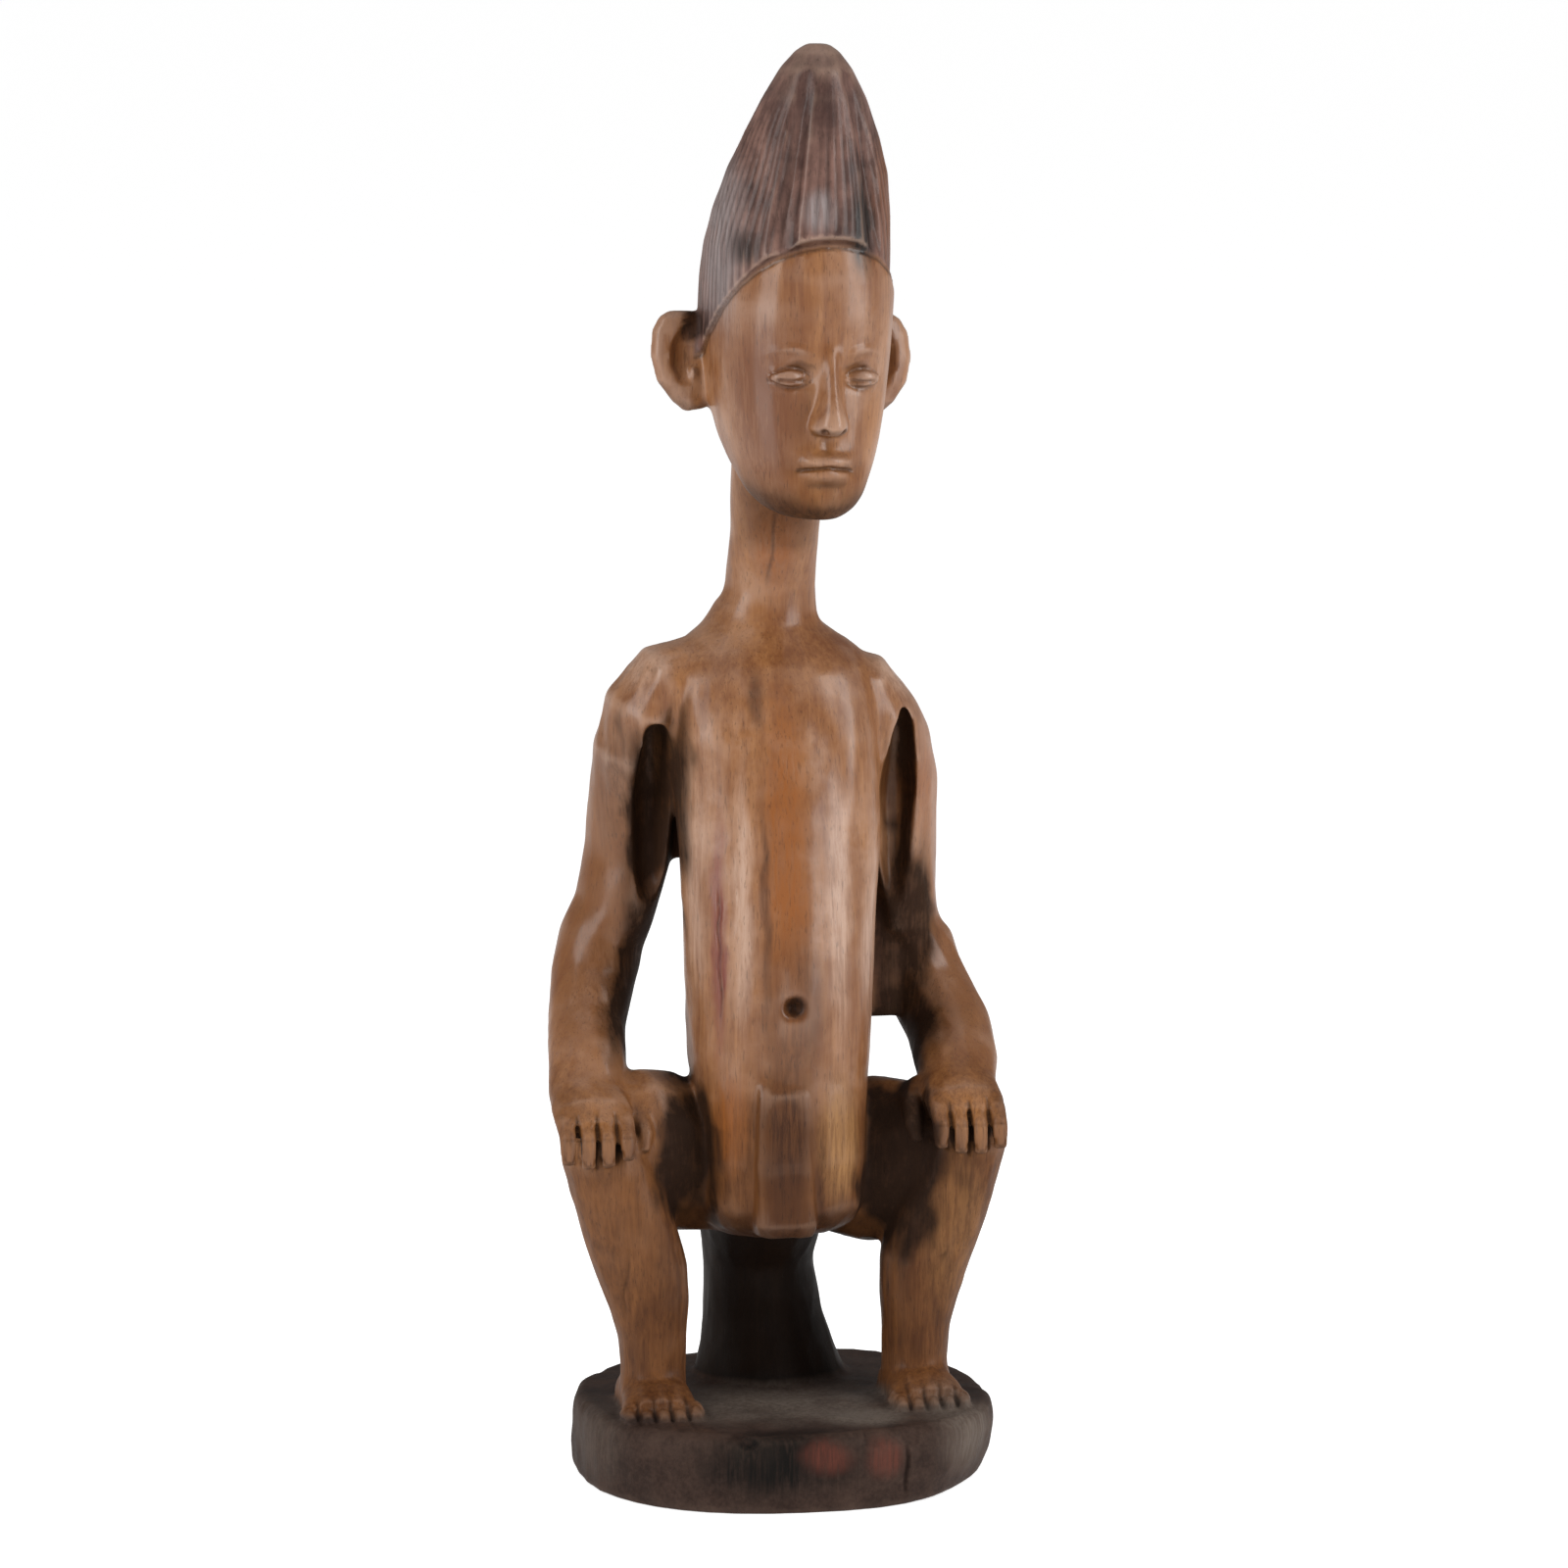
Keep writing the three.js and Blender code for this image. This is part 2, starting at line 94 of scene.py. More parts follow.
def knifeMarks(points, cell):
    # flats left by the blade, longer along the grain: 0 on the rims between them, 1 inside
    gaps = []
    for point in points / np.array(cell):
        distances = noise.voronoi(point)[0]
        gaps.append(distances[1] - distances[0])
    return ramp(np.array(gaps), 0, 0.45)


# the head's own frame: its middle between the ears, mm, and its turn and lean to the figure's left
head = {"middle": (-1.2, -20, 276), "turn": 7, "lean": 1.8}


def inHeadFrame(points):
    turn = math.radians(head["turn"])
    lean = math.radians(head["lean"])
    aboutZ = np.array([
        [math.cos(turn), -math.sin(turn), 0],
        [math.sin(turn), math.cos(turn), 0],
        [0, 0, 1],
    ])
    aboutY = np.array([
        [math.cos(lean), 0, math.sin(lean)],
        [0, 1, 0],
        [-math.sin(lean), 0, math.cos(lean)],
    ])
    return (points - head["middle"]) @ (aboutZ @ aboutY)


class Skin:
    # a mesh while it is carved: its points in mm and which of them are neighbours
    def __init__(self, mesh):
        self.mesh = mesh
        self.points = np.empty(len(mesh.vertices) * 3)
        mesh.vertices.foreach_get("co", self.points)
        self.points = self.points.reshape(-1, 3) / mm
        ends = np.empty(len(mesh.edges) * 2, int)
        mesh.edges.foreach_get("vertices", ends)
        self.ends = ends.reshape(-1, 2)
        self.neighbours = np.bincount(ends, minlength=len(self.points))

    def around(self, values):
        # the mean of each point's neighbours
        first, second = self.ends.T
        columns = []
        for column in values.T:
            total = np.bincount(first, column[second], len(column))
            total += np.bincount(second, column[first], len(column))
            columns.append(total / self.neighbours)
        return np.column_stack(columns)

    def eased(self, values, passes, share=1.0):
        for _ in range(passes):
            values = values + 0.5 * share * (self.around(values) - values)
        return values

    def easedNumber(self, values, passes):
        return self.eased(values[:, None], passes)[:, 0]

    def smooth(self, passes, share):
        # smoothed once, then what that took from the larger form is given back
        soft = self.eased(self.points, passes, share)
        lost = self.points - soft
        self.points = soft + self.eased(lost, passes, share)

    def store(self):
        self.mesh.vertices.foreach_set("co", (self.points * mm).ravel())
        self.mesh.update()

    def normals(self):
        self.store()
        flat = np.empty(len(self.points) * 3)
        self.mesh.vertex_normals.foreach_get("vector", flat)
        return flat.reshape(-1, 3)

    def attribute(self, name, values):
        layer = self.mesh.attributes.new(name, "FLOAT", "POINT")
        layer.data.foreach_set("value", np.clip(values, 0, 1).astype(np.float32))


# Where things are on the figure; each gives 0 to 1 for every point

hairline = {
    "front": 35.5,  # mm above the middle of the head
    "slope": 0.85,  # its fall from the brow to the nape
    "faceY": -26,  # where it is that high
}


def aboveHairline(inHead):
    # mm above the sloping plane on which the hair begins
    steep = math.cos(math.atan(hairline["slope"]))
    edge = hairline["front"] - hairline["slope"] * (inHead[:, 1] - hairline["faceY"])
    return (inHead[:, 2] - edge) * steep


def earMask(inHead):
    sideways = ramp(np.abs(inHead[:, 0] + 0.3), 22.9, 23.9)
    level = between(inHead[:, 2], -10.8, -8.8, 18.2, 20.2)
    return sideways * level * between(inHead[:, 1], -2, 0, 17, 19)


def hairMask(inHead):
    onHead = ramp(inHead[:, 2], -16, -14)
    return ramp(aboveHairline(inHead), -0.2, 0.5) * onHead * (1 - earMask(inHead))


def faceMask(inHead):
    return ramp(inHead[:, 1], -6, -12) * between(inHead[:, 2], -38, -30, 18, 26)


def featureMask(inHead):
    # the eyes with their sockets, and the lower end of the nose
    x, y, z = inHead.T
    sockets = between(np.abs(x), 2.5, 5, 15, 18) * between(z, -4, -1, 9, 12)
    nose = ramp(np.abs(x), 8.5, 6.5) * between(z, -14, -12, -4, -1)
    return np.maximum(sockets, nose) * ramp(y, -12, -16)


def handMask(points):
    return between(points[:, 2], 78, 81, 99, 103) * ramp(points[:, 1], -11, -15)


def footMask(points):
    return between(points[:, 2], 17, 18.5, 27, 31) * ramp(points[:, 1], -17, -21)


def clothMask(points):
    across = ramp(np.abs(points[:, 0] + 4.4), 10, 9)
    return across * between(points[:, 2], 60, 62, 106, 109) * ramp(points[:, 1], -17, -19)


def smallCarving(points):
    inHead = inHeadFrame(points)
    return np.maximum.reduce((faceMask(inHead), earMask(inHead), handMask(points), footMask(points)))


def plainness(points):
    # how much each point may be smoothed: all where the wood is plain, little on small carving
    inHead = inHeadFrame(points)
    share = np.ones(len(points))
    onHair = hairMask(inHead) * ramp(inHead[:, 2], -14, -10)
    for mask, left in (
        (onHair, 0.4),
        (bump(aboveHairline(inHead), 4) * ramp(inHead[:, 2], -16, -12), 0.18),
        (featureMask(inHead), 0.32),
        (earMask(inHead), 0.16),
        (handMask(points), 0.22),
        (footMask(points), 0.14),
        (clothMask(points), 0.22),
        (ramp(points[:, 2], 21, 19), 0.5),
    ):
        share = share * (1 - mask) + np.minimum(share, left) * mask
    return share[:, None]


# Spots painted dark, middle and reach in mm: painted shade where the body lies in shade, and patina in the
# navel
shadeAndPatinaSpots = (
    {"at": (-28, -13, 85), "reach": (11, 20, 19), "amount": 1.0},  # right thigh, beside the cloth: painted shade
    {"at": (27, -13, 80), "reach": (13, 22, 26), "amount": 1.0},  # left thigh: painted shade
    {"at": (34, 3, 138), "reach": (10, 18, 24), "amount": 0.95},  # inside the left elbow: painted shade
    {"at": (-33, -2, 170), "reach": (9.5, 20, 34), "amount": 1.0},  # under the right arm: painted shade, with some patina
    {"at": (-26, -17, 291), "reach": (4, 8, 5), "amount": 0.9},  # over the right ear, in its hollow: painted shade
    {"at": (-1.8, -24, 122.5), "reach": (4, 6, 4.5), "amount": 0.9},  # navel: dark patina in its pit
)


def paintedShadeAndGrime(points, normals):
    # painted shade, with some grime that no hand rubs off: darker on the arms' inner sides and elbows, the
    # thighs, the throat and what faces down
    x, y, z = points.T
    # the arms' sides turned in toward the body: painted shade
    inward = ramp(-normals[:, 0] * np.sign(x + 2), 0.05, 0.55)
    arms = inward * ramp(np.abs(x + 1), 24, 28) * between(z, 100, 116, 196, 206)
    onLeft = x > 0
    nearElbow = ramp(z, 165, 145)
    total = arms * np.where(onLeft, 0.1 + 0.7 * nearElbow, 1.0)
    # what faces down, above the base: painted shade underneath
    total = np.maximum(total, 0.5 * ramp(-normals[:, 2], 0.15, 0.7) * ramp(z, 20, 24))
    uneven = 1 + 0.3 * softNoise(points, 7, 30) + 0.16 * softNoise(points * (1, 1, 0.4), 1.8, 31)
    for spot in shadeAndPatinaSpots:
        away = np.linalg.norm((points - spot["at"]) / spot["reach"], axis=1) * uneven
        total = np.maximum(total, spot["amount"] * ramp(away, 1, 0.6))
    # the web between arm and body, set back and facing forward: painted shade
    web = ramp(y, 2, 6) * ramp(-normals[:, 1], 0.1, 0.4)
    web = web * between(z, 98, 104, 200, 206) * between(np.abs(x), 24, 27, 37, 42)
    total = np.maximum(total, web * np.where(onLeft, 0.1 + 0.8 * nearElbow, 0.9))
    # the body's right flank beside the arm: painted shade
    flank = ramp(-normals[:, 0], 0.55, 0.9) * ramp(np.abs(x + 26), 5, 3) * ramp(y, -12, -8)
    total = np.maximum(total, 0.9 * flank * between(z, 148, 158, 198, 206))
    # under the jaw: painted shade
    throat = between(z, 232, 236, 250, 260) * ramp(-normals[:, 2], -0.05, 0.5)
    return np.maximum(total, 0.7 * throat)


# Carving: each gives the depth cut away, in mm, for every point

hair = {
    "strands": 58,
    "depth": 0.34,
    "edgeDepth": 0.35,
    "wander": 0.35,  # how far a strand strays, in strands
    "fadeFrom": 56,  # heights in the head's frame between which the strands end
    "fadeTo": 74,
}


def hairLines(inHead):
    # grooves that run up around the middle of the hair, which leans forward with height
    height = inHead[:, 2]
    axisX = np.interp(height, (0, 34, 84), (0, -0.9, -2))
    axisY = np.interp(height, (0, 34, 53, 71, 84), (1, -0.5, -6.5, -12.5, -15.2))
    angle = np.arctan2(inHead[:, 1] - axisY, inHead[:, 0] - axisX)
    wander = hair["wander"] * softNoise(inHead, 17, 3)
    strand = hair["strands"] * angle / (2 * math.pi) + wander
    valley = 1 - np.abs(np.sin(math.pi * strand))
    reach = hairMask(inHead) * ramp(aboveHairline(inHead), 0.5, 1.6)
    fade = ramp(height + 7 * softNoise(inHead, 7, 5), hair["fadeTo"], hair["fadeFrom"])
    return valley * reach * fade * (0.75 + 0.25 * softNoise(inHead, 9, 4))


def hairEdge(inHead):
    # a crisp line where the hair meets the skin
    onHead = ramp(inHead[:, 2], -15, -13) * (1 - earMask(inHead))
    return bump(aboveHairline(inHead) + 0.5, 0.9) * onHead


def almond(x, z, halfWidth, halfHeight):
    # 1 on a pointed oval, less inside it
    lift = np.clip(1 - (x / halfWidth) ** 2, 0.02, 1) ** 0.8
    return np.abs(z) / (halfHeight * lift) + np.clip(np.abs(x) / halfWidth - 1, 0, None) * 4


eyes = {"x": 9.3, "z": 3.6, "halfWidth": 5.3, "halfHeight": 2.5, "lidDepth": 0.6, "slitDepth": 0.5}
nostrils = {"x": 2.3, "y": -30.2, "reach": 1.5, "depth": 1.2}
mouth = {"z": -18.2, "halfWidth": 7.4, "depth": 0.9, "cornerDepth": 0.25, "lipGrooveDepth": 0.35}
chin = {"z": -22.8, "depth": 0.4}  # the hollow under the lower lip
brows = {"z": 10.8, "peakX": 9.5, "arch": 0.055, "rise": 0.4}


def faceLines(inHead):
    x, y, z = inHead.T
    front = ramp(y, -12, -15) * ramp(aboveHairline(inHead), 0, -2)
    cuts = np.zeros(len(x))
    for side in (-1, 1):
        across = x - side * eyes["x"]
        level = z - eyes["z"]
        lid = almond(across, level, eyes["halfWidth"], eyes["halfHeight"])
        rim = bump(lid - 1, 0.34) * ramp(np.abs(across), eyes["halfWidth"] + 0.6, eyes["halfWidth"] - 0.2)
        cuts += eyes["lidDepth"] * rim
        slit = bump(level + 0.7 - 0.02 * across ** 2, 0.7) * ramp(np.abs(across), 4.4, 2.8)
        cuts += eyes["slitDepth"] * slit
        fromNostril = across + side * (eyes["x"] - nostrils["x"])
        nostril = bump(np.hypot(fromNostril, (y - nostrils["y"]) * 0.8), nostrils["reach"])
        cuts += nostrils["depth"] * nostril * between(z, -13, -11.5, -9, -7.5)
    lipLine = bump(z - mouth["z"] + 0.014 * x ** 2 - 0.2 * bump(x, 2.4), 0.75)
    cuts += mouth["depth"] * lipLine * ramp(np.abs(x), mouth["halfWidth"] + 0.6, mouth["halfWidth"] - 1)
    cuts += mouth["cornerDepth"] * bump(z - mouth["z"], 4.5) * between(np.abs(x), 4.5, 8, 9, 12)
    cuts += mouth["lipGrooveDepth"] * bump(x, 1.5) * between(z, -15, -14, -11.5, -10.5)
    cuts += chin["depth"] * bump(z - chin["z"], 1.6) * bump(x, 6)
    return cuts * front


def browRise(inHead):
    # two low arched brows, standing out
    x, y, z = inHead.T
    arch = brows["z"] - brows["arch"] * (np.abs(x) - brows["peakX"]) ** 2
    return brows["rise"] * bump(z - arch, 1.9) * between(np.abs(x), 3.4, 7, 9, 17) * ramp(y, -12, -16)


hands = {
    "shiftX": -4.3,
    "spread": 47.3,
    "wristZ": 98,
    "fingerGap": 4.9,
    "lengths": (5, 6.5, 6.8, 5.6),  # of the last finger joints, from the inner side out
    "gapDepth": 0.65,
    "knuckleDepth": 0.22,
    "nailDepth": 0.3,
}


def fingerLines(points):
    x, y, z = points.T
    cuts = np.zeros(len(x))
    lengths = hands["lengths"]
    for side in (-1, 1):
        middle = hands["shiftX"] + side * hands["spread"]
        across = (x - middle) * side
        below = hands["wristZ"] - z
        onFingers = handMask(points) * ramp(np.abs(across), 12.5, 11.5)
        for number in range(3):
            gap = bump(across - (number - 1) * hands["fingerGap"], 0.85)
            tip = 9 + min(lengths[number], lengths[number + 1])
            cuts += hands["gapDepth"] * gap * between(below, 0.5, 3, tip - 0.8, tip + 0.6) * onFingers
        for number, length in enumerate(lengths):
            fromFinger = across - (number - 1.5) * hands["fingerGap"]
            knuckle = bump(below - 7.2 - 0.3 * math.sin(number), 0.6) * ramp(np.abs(fromFinger), 2, 1.2)
            cuts += hands["knuckleDepth"] * knuckle * onFingers
            nail = np.hypot(fromFinger / 1.35, (below - 5.6 - length) / 1.9)
            nailEdge = bump(nail - 1, 0.35) * ramp(below, 5 + length, 6 + length)
            cuts += hands["nailDepth"] * nailEdge * onFingers
    return cuts


feet = {
    "shiftX": -1.7,
    "spread": 34.4,
    "toeGap": 4.1,
    "tipY": -31,
    "gapDepth": 0.5,
    "nailDepth": 0.25,
}


def toeLines(points):
    x, y, z = points.T
    cuts = np.zeros(len(x))
    for side in (-1, 1):
        across = (x - feet["shiftX"]) * side - feet["spread"]
        onToes = between(z, 19.2, 20, 24, 26) * ramp(y, -22, -25)
        for gap in (-1.5, -0.5, 0.5, 1.5):
            cuts += feet["gapDepth"] * bump(across - gap * feet["toeGap"], 0.8) * onToes
        for number in (-2, -1, 0, 1, 2):
            tip = feet["tipY"] + abs(number + 1) * 0.9
            nail = np.hypot((across - number * feet["toeGap"]) / 1.2, (y - tip - 1.6) / 1.5)
            cuts += feet["nailDepth"] * bump(nail - 1, 0.4) * ramp(z, 21.5, 22.5) * onToes
    return cuts


# Old drying cracks along the grain: place across, from and to heights, side faced, width and depth, mm
cracks = (
    {"x": -20.0, "from": 112, "to": 156, "faces": -1, "width": 0.7, "depth": 0.35},
    {"x": -4.6, "from": 222, "to": 247, "faces": -1, "width": 0.8, "depth": 0.4},
    {"x": 6.0, "from": 118, "to": 176, "faces": 1, "width": 0.8, "depth": 0.6},
    {"x": -12.5, "from": 96, "to": 131, "faces": 1, "width": 0.7, "depth": 0.45},
    {"x": 4.0, "from": 288, "to": 326, "faces": 1, "width": 0.8, "depth": 0.6},
    {"x": -43.5, "from": 40, "to": 66, "faces": -1, "width": 0.6, "depth": 0.3},
    {"x": 21.0, "from": 1, "to": 17, "faces": -1, "width": 0.8, "depth": 0.7},
    {"x": -30.0, "from": 4, "to": 19, "faces": 1, "width": 0.8, "depth": 0.7},
)


def crackDepth(points, normals):
    cuts = np.zeros(len(points))
    for number, crack in enumerate(cracks):
        shift = 0.9 * softNoise(points * (0, 0, 1), 7, 20 + number)
        across = points[:, 0] - crack["x"] - shift
        height = points[:, 2]
        taper = 0.3 * (crack["to"] - crack["from"])
        ends = between(height, crack["from"], crack["from"] + taper, crack["to"] - taper, crack["to"])
        facing = ramp(normals[:, 1] * crack["faces"], 0.25, 0.5)
        cuts += crack["depth"] * bump(across, crack["width"]) * ends * facing
    return cuts


base = {
    "height": 19.5,
    "radius": 52.7,
    "squareness": 0.035,  # its corners stand out from the circle by twice this share
    "chips": 34,
    "chipReach": (2.2, 6.0),
    "chipDepth": 0.28,  # as a share of the reach
    "pits": 0.3,  # mm deep, as is the swell of its surface
    "swell": 0.45,
}


def baseMask(points):
    return ramp(points[:, 2], base["height"] + 0.6, base["height"])


def baseWear(points):
    # chips along both rims of the base
    rng = np.random.default_rng(11)
    cuts = np.zeros(len(points))
    low = points[:, 2] < base["height"] + 2
    near = points[low]
    depth = np.zeros(len(near))
    ragged = 1 + 0.5 * softNoise(near, 3.5, 12)
    for _ in range(base["chips"]):
        angle = rng.uniform(0, 2 * math.pi)
        rim = rng.choice((0.4, base["height"] - 0.8))
        reach = rng.uniform(*base["chipReach"])
        out = base["radius"] * (1 + base["squareness"] * (1 - math.cos(4 * angle)))
        centre = (out * math.cos(angle), out * math.sin(angle), rim)
        away = np.linalg.norm((near - centre) * (1, 1, 1.3), axis=1) * ragged
        deep = rng.uniform(0.3, 1.0) * reach * base["chipDepth"]
        depth = np.maximum(depth, deep * bump(away, reach))
    cuts[low] = depth
    return cuts * ramp(points[:, 2], base["height"] + 1.5, base["height"])


blade = {"flat": (7, 7, 15), "depth": 0.11, "extraOnLegs": 0.08}  # the size of one flat, its depths, mm


def bladeMarks(points):
    # the flats that the blade left: clear on the legs, fainter above, an uneven skin on the base
    inHead = inHeadFrame(points)
    plain = (1 - smallCarving(points)) * (1 - 0.6 * hairMask(inHead))
    onBase = baseMask(points)
    depth = blade["depth"] + blade["extraOnLegs"] * ramp(points[:, 2], 84, 60)
    cuts = knifeMarks(points, blade["flat"]) * plain * (1 - onBase) * depth
    cuts += base["pits"] * np.abs(softNoise(points, 6, 9)) * onBase
    return cuts


# Soft swells of the plain surface: how wide and how high, mm
swells = (
    {"cell": 15, "height": 0.28, "seed": 1},
    {"cell": 4, "height": 0.06, "seed": 2},
)


def carve(skin):
    normals = skin.normals()
    inHead = inHeadFrame(skin.points)
    small = np.maximum(smallCarving(skin.points), 0.6 * hairMask(inHead))
    cuts = bladeMarks(skin.points)
    for swell in swells:
        cuts += swell["height"] * softNoise(skin.points, swell["cell"], swell["seed"]) * (1 - small)
    cuts += base["swell"] * softNoise(skin.points, 11, 6) * baseMask(skin.points)
    cuts += hair["depth"] * hairLines(inHead) + hair["edgeDepth"] * hairEdge(inHead)
    cuts += faceLines(inHead) - browRise(inHead)
    cuts += fingerLines(skin.points) + toeLines(skin.points)
    cuts += crackDepth(skin.points, normals)
    cuts += baseWear(skin.points)
    underside = ramp(-normals[:, 2], 0.5, 0.9) * ramp(skin.points[:, 2], 1.5, 0.5)
    skin.points = skin.points - normals * (cuts * (1 - underside))[:, None]


def keptInBox(skin):
    low, high = (np.array(corner) / mm for corner in cadBounds)
    skin.points = np.clip(skin.points, low, high)


def appliedMesh(piece):
    # the piece's mesh with its modifiers made real
    graph = bpy.context.evaluated_depsgraph_get()
    mesh = bpy.data.meshes.new_from_object(piece.evaluated_get(graph))
    piece.modifiers.clear()
    piece.data = mesh
    return mesh


def trianglesOf(mesh):
    corners = np.empty(len(mesh.loop_triangles) * 3, int)
    mesh.loop_triangles.foreach_get("vertices", corners)
    return corners.reshape(-1, 3).tolist()


def openness(skin, normals, reach=38, looks=30, lowest=0.12, clearance=0.5):
    # how much of the room around each point is free of the figure itself, within the reach in mm
    tree = BVHTree.FromPolygons(skin.points.tolist(), trianglesOf(skin.mesh))
    seen = np.zeros(len(skin.points))
    full = np.zeros(len(skin.points))
    golden = math.pi * (3 - math.sqrt(5))
    for look in range(looks):
        height = 1 - 2 * (look + 0.5) / looks
        ring = math.sqrt(1 - height * height)
        way = np.array((ring * math.cos(golden * look), ring * math.sin(golden * look), height))
        toward = normals @ way
        direction = Vector(way)
        for number in np.nonzero(toward > lowest)[0]:
            full[number] += toward[number]
            start = skin.points[number] + normals[number] * clearance
            if tree.ray_cast(start, direction, reach)[0] is None:
                seen[number] += toward[number]
    return seen / np.maximum(full, 0.01)


surface = {
    "voxel": 0.5,  # mm, the grid on which the solid is made one fine skin
    "passes": 60,  # of smoothing where the wood is plain
    "triangles": 196000,  # of the finished piece
    "wearReach": 12,  # passes of smoothing against which an edge stands out as worn
    "wearHeight": 0.7,  # mm between the deepest dip and the most worn edge
}


def solidCopy():
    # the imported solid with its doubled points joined
    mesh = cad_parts["figure"].data.copy()
    work = bmesh.new()
    work.from_mesh(mesh)
    bmesh.ops.remove_doubles(work, verts=work.verts, dist=1e-6)
    work.to_mesh(mesh)
    work.free()
    mesh.materials.clear()
    piece = bpy.data.objects.new("carvedFigure", mesh)
    bpy.context.collection.objects.link(piece)
    return piece


def measure(skin, normals):
    # what the wood's looks need to know at each point
    inHead = inHeadFrame(skin.points)
    lines = hairLines(inHead) + faceLines(inHead) + 1.5 * fingerLines(skin.points)
    lines += 1.6 * toeLines(skin.points) + hairEdge(inHead) + 1.8 * crackDepth(skin.points, normals)
    skin.attribute("cutLines", lines)
    skin.attribute("onHair", hairMask(inHead))
    skin.attribute("open", skin.easedNumber(openness(skin, normals), 3))
    unmarked = skin.points + normals * bladeMarks(skin.points)[:, None]
    standing = ((unmarked - skin.eased(unmarked, surface["wearReach"])) * normals).sum(axis=1)
    skin.attribute("worn", skin.easedNumber(0.5 + standing / surface["wearHeight"], 3))
    skin.attribute("paintedShadeAndGrime", paintedShadeAndGrime(skin.points, normals))


def carvedFigure():
    piece = solidCopy()
    remesh = piece.modifiers.new("fine skin", "REMESH")
    remesh.mode = "VOXEL"
    remesh.voxel_size = surface["voxel"] * mm
    skin = Skin(appliedMesh(piece))
    print("fine skin:", len(skin.points), "points")

    skin.smooth(surface["passes"], skin.eased(plainness(skin.points), 4))
    carve(skin)
    keptInBox(skin)
    skin.store()
    print("carved")

    skin.mesh.calc_loop_triangles()
    thin = piece.modifiers.new("fewer faces", "DECIMATE")
    thin.ratio = surface["triangles"] / len(skin.mesh.loop_triangles)
    skin = Skin(appliedMesh(piece))
    keptInBox(skin)
    normals = skin.normals()
    skin.mesh.shade_smooth()
    skin.mesh.calc_loop_triangles()
    print("thinned:", len(skin.mesh.loop_triangles), "triangles")

    measure(skin, normals)
    print("shade and wear measured")
    return piece


class Wire:
    # a shader socket that takes part in sums
    def __init__(self, tree, socket=None):
        self.tree = tree
        self.socket = socket

    def node(self, kind, settings=None, inputs=None, output=0):
        made = self.tree.nodes.new(kind)
        for name, value in (settings or {}).items():
            setattr(made, name, value)
        for name, value in (inputs or {}).items():
            if isinstance(value, Wire):
                self.tree.links.new(value.socket, made.inputs[name])
            else:
                made.inputs[name].default_value = value
        return Wire(self.tree, made.outputs[output])

    def maths(self, operation, *values, clamp=False):
        settings = {"operation": operation, "use_clamp": clamp}
        return self.node("ShaderNodeMath", settings, dict(enumerate(values)))

    def __add__(self, other):
        return self.maths("ADD", self, other)

    def __sub__(self, other):
        return self.maths("SUBTRACT", self, other)

    def __rsub__(self, other):
        return self.maths("SUBTRACT", other, self)

    def __mul__(self, other):
        return self.maths("MULTIPLY", self, other)

    __radd__ = __add__
    __rmul__ = __mul__

    def held(self):
        return self.maths("ADD", self, 0, clamp=True)

    def soft(self, low, high):
        # 0 at low, 1 at high, soft between
        settings = {"interpolation_type": "SMOOTHSTEP"}
        inputs = {"Value": self, "From Min": low, "From Max": high, "To Min": 0.0, "To Max": 1.0}
        return self.node("ShaderNodeMapRange", settings, inputs)

    def fall(self, high, low):
        # 1 at low, 0 at high
        return 1 - self.soft(low, high)

    def scaled(self, factors):
        return self.node("ShaderNodeVectorMath", {"operation": "MULTIPLY"}, {0: self, 1: factors})

    def noise(self, scale, detail=3.0, roughness=0.55, distortion=0.0):
        inputs = {"Vector": self, "Scale": scale, "Detail": detail, "Roughness": roughness}
        inputs["Distortion"] = distortion
        return self.node("ShaderNodeTexNoise", {}, inputs)

    def wobbled(self, reach):
        # the place pushed about a little, so that edges drawn with it are uneven
        push = self.node("ShaderNodeTexNoise", {}, {"Vector": self, "Scale": 0.09}, output="Color")
        centred = push.node("ShaderNodeVectorMath", {"operation": "SUBTRACT"}, {0: push, 1: (0.5, 0.5, 0.5)})
        inputs = {0: self, 1: centred.scaled((reach, reach, reach))}
        return self.node("ShaderNodeVectorMath", {"operation": "ADD"}, inputs)

    def axis(self, name):
        return self.node("ShaderNodeSeparateXYZ", {}, {0: self}, output=name)

    def spot(self, centre, reach):
        # 1 at a place on the figure, 0 outside an oval around it
        away = self.node("ShaderNodeVectorMath", {"operation": "SUBTRACT"}, {0: self, 1: centre})
        shares = away.scaled([1 / size for size in reach])
        length = shares.node("ShaderNodeVectorMath", {"operation": "LENGTH"}, {0: shares}, output="Value")
        return length.fall(1.0, 0.25)

    def over(self, below, colour):
        # the colour laid over another by this amount
        return self.node("ShaderNodeMix", {"data_type": "RGBA"}, {0: self, 6: below, 7: colour}, output=2)


def paint(red, green, blue):
    # a colour as seen on a screen, 0 to 255, in the shader's own light values
    values = [value / 255 for value in (red, green, blue)]
    return [value / 12.92 if value < 0.04 else ((value + 0.055) / 1.055) ** 2.4 for value in values] + [1]


